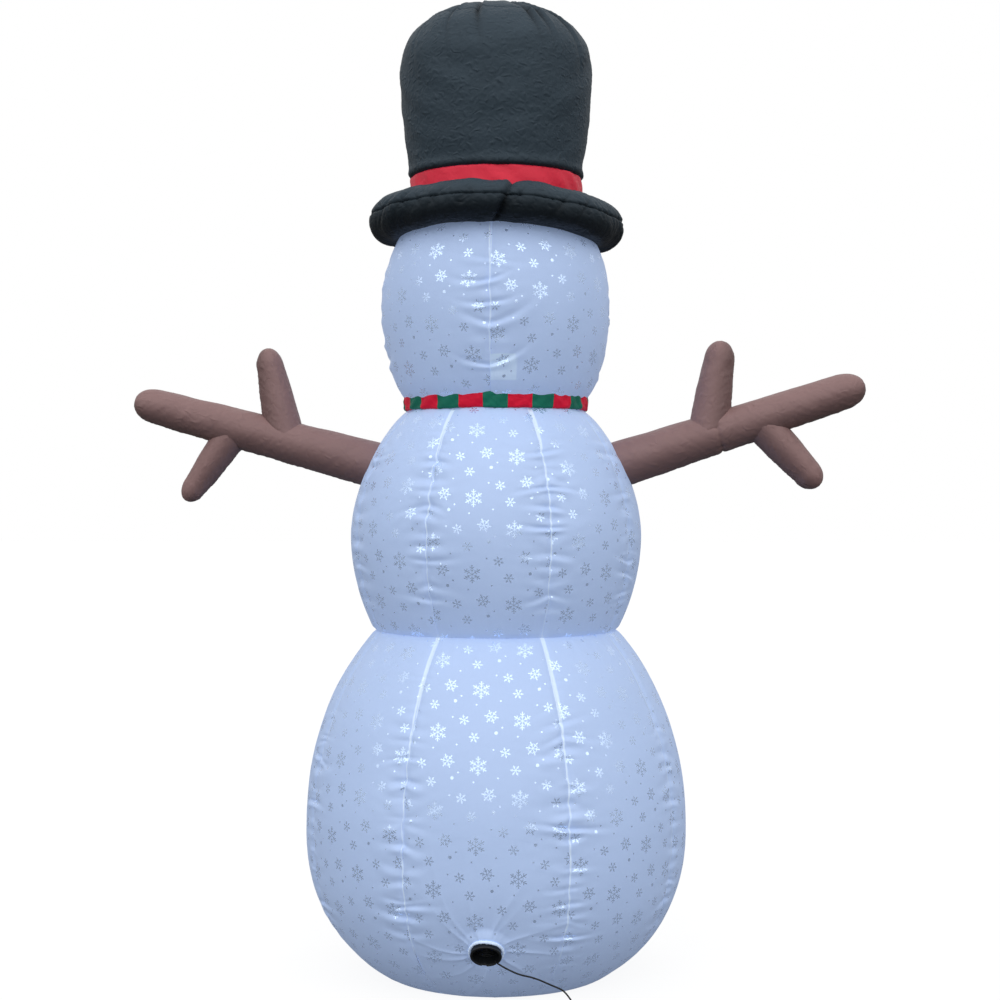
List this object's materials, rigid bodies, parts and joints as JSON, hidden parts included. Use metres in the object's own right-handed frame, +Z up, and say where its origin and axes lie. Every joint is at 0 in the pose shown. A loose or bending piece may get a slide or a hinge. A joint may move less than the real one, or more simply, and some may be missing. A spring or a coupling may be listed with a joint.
{
  "type": "inflatable yard snowman",
  "caption": "Tall inflatable snowman of three stacked fabric balls with a top hat, a scarf, forked branch arms, a carrot nose and a blower low on its back.",
  "frame": {"origin": "centre of the base on the ground", "axes": "+Z up, -Y the way the face looks, +X the figure's left hand"},
  "size_m": [2.8, 1.461, 3.6603],
  "materials": {
    "snow_fabric": "printed polyester, slightly glossy",
    "hat_fabric": "smooth polyester",
    "band_fabric": "smooth polyester",
    "scarf_fabric": "brushed polyester",
    "nose_fabric": "smooth polyester",
    "bark_fabric": "printed polyester",
    "black_plastic": "moulded, satin",
    "motor_steel": "brushed",
    "cord_rubber": "satin",
    "adapter_plastic": "moulded",
    "light_wire": "satin",
    "lamp_cover": "clear, glossy",
    "webbing": "woven",
    "zip_tape": "woven",
    "zip_metal": "cast"
  },
  "bodies": {
    "figure": {"lower_gore_1": "snow_fabric", "lower_gore_2": "snow_fabric", "lower_gore_3": "snow_fabric", "lower_gore_4": "snow_fabric", "lower_gore_5": "snow_fabric", "lower_gore_6": "snow_fabric", "lower_gore_7": "snow_fabric", "lower_gore_8": "snow_fabric", "middle_gore_1": "snow_fabric", "middle_gore_2": "snow_fabric", "middle_gore_3": "snow_fabric", "middle_gore_4": "snow_fabric", "middle_gore_5": "snow_fabric", "middle_gore_6": "snow_fabric", "middle_gore_7": "snow_fabric", "middle_gore_8": "snow_fabric", "head_gore_1": "snow_fabric", "head_gore_2": "snow_fabric", "head_gore_3": "snow_fabric", "head_gore_4": "snow_fabric", "inlet_cuff": "snow_fabric", "base_panel": "webbing", "brim_lower_panel": "hat_fabric", "brim_upper_panel": "hat_fabric", "hat_band": "band_fabric", "crown_side": "hat_fabric", "crown_top": "hat_fabric", "scarf_band": "scarf_fabric", "scarf_knot": "scarf_fabric", "scarf_tail_long": "scarf_fabric", "scarf_tail_short": "scarf_fabric", "nose": "nose_fabric", "blower_collar": "black_plastic", "inlet_grille": "black_plastic", "blower_housing": "black_plastic", "motor_mount": "black_plastic", "motor": "motor_steel", "power_cord": "cord_rubber", "cord_coil": "cord_rubber", "power_adapter": "adapter_plastic", "light_cord": "light_wire", "led_lamp_1": "lamp_cover", "led_lamp_2": "lamp_cover", "led_lamp_3": "lamp_cover", "tie_loop_1": "webbing", "tie_loop_2": "webbing", "tie_loop_3": "webbing", "tie_loop_4": "webbing", "zipper_tape": "zip_tape"},
    "impeller": {"impeller": "black_plastic"},
    "zipper_slider": {"zipper_slider": "zip_metal"},
    "zipper_pull": {"zipper_pull": "zip_metal"},
    "left_branch": {"left_arm": "bark_fabric", "left_upper_twig": "bark_fabric", "left_lower_twig": "bark_fabric"},
    "right_branch": {"right_arm": "bark_fabric", "right_upper_twig": "bark_fabric", "right_lower_twig": "bark_fabric"}
  },
  "joints": [
    {"name": "impeller_spin", "type": "hinge", "parent": "figure", "child": "impeller", "pos_m": [0, 0.642, 0.227], "axis": [0, 0.766, -0.6428], "continuous": true},
    {"name": "zip_travel", "type": "hinge", "parent": "figure", "child": "zipper_slider", "pos_m": [0.03978, -0.09604, 0.51571], "axis": [0.9239, 0.3827, 0], "range_deg": [0, 23]},
    {"name": "zip_pull_swing", "type": "hinge", "parent": "zipper_slider", "child": "zipper_pull", "pos_m": [0.27327, -0.65974, 0.39086], "axis": [-0.9239, -0.3827, 0], "range_deg": [-14, 150]},
    {"name": "left_arm_sway", "type": "hinge", "parent": "figure", "child": "left_branch", "pos_m": [0.479, 0, 1.919], "axis": [0, 1, 0], "range_deg": [-5, 5], "stiffness_Nm_per_rad": 120, "springref_deg": -0.42},
    {"name": "right_arm_sway", "type": "hinge", "parent": "figure", "child": "right_branch", "pos_m": [-0.479, 0, 1.919], "axis": [0, -1, 0], "range_deg": [-5, 5], "stiffness_Nm_per_rad": 120, "springref_deg": -0.42}
  ]
}
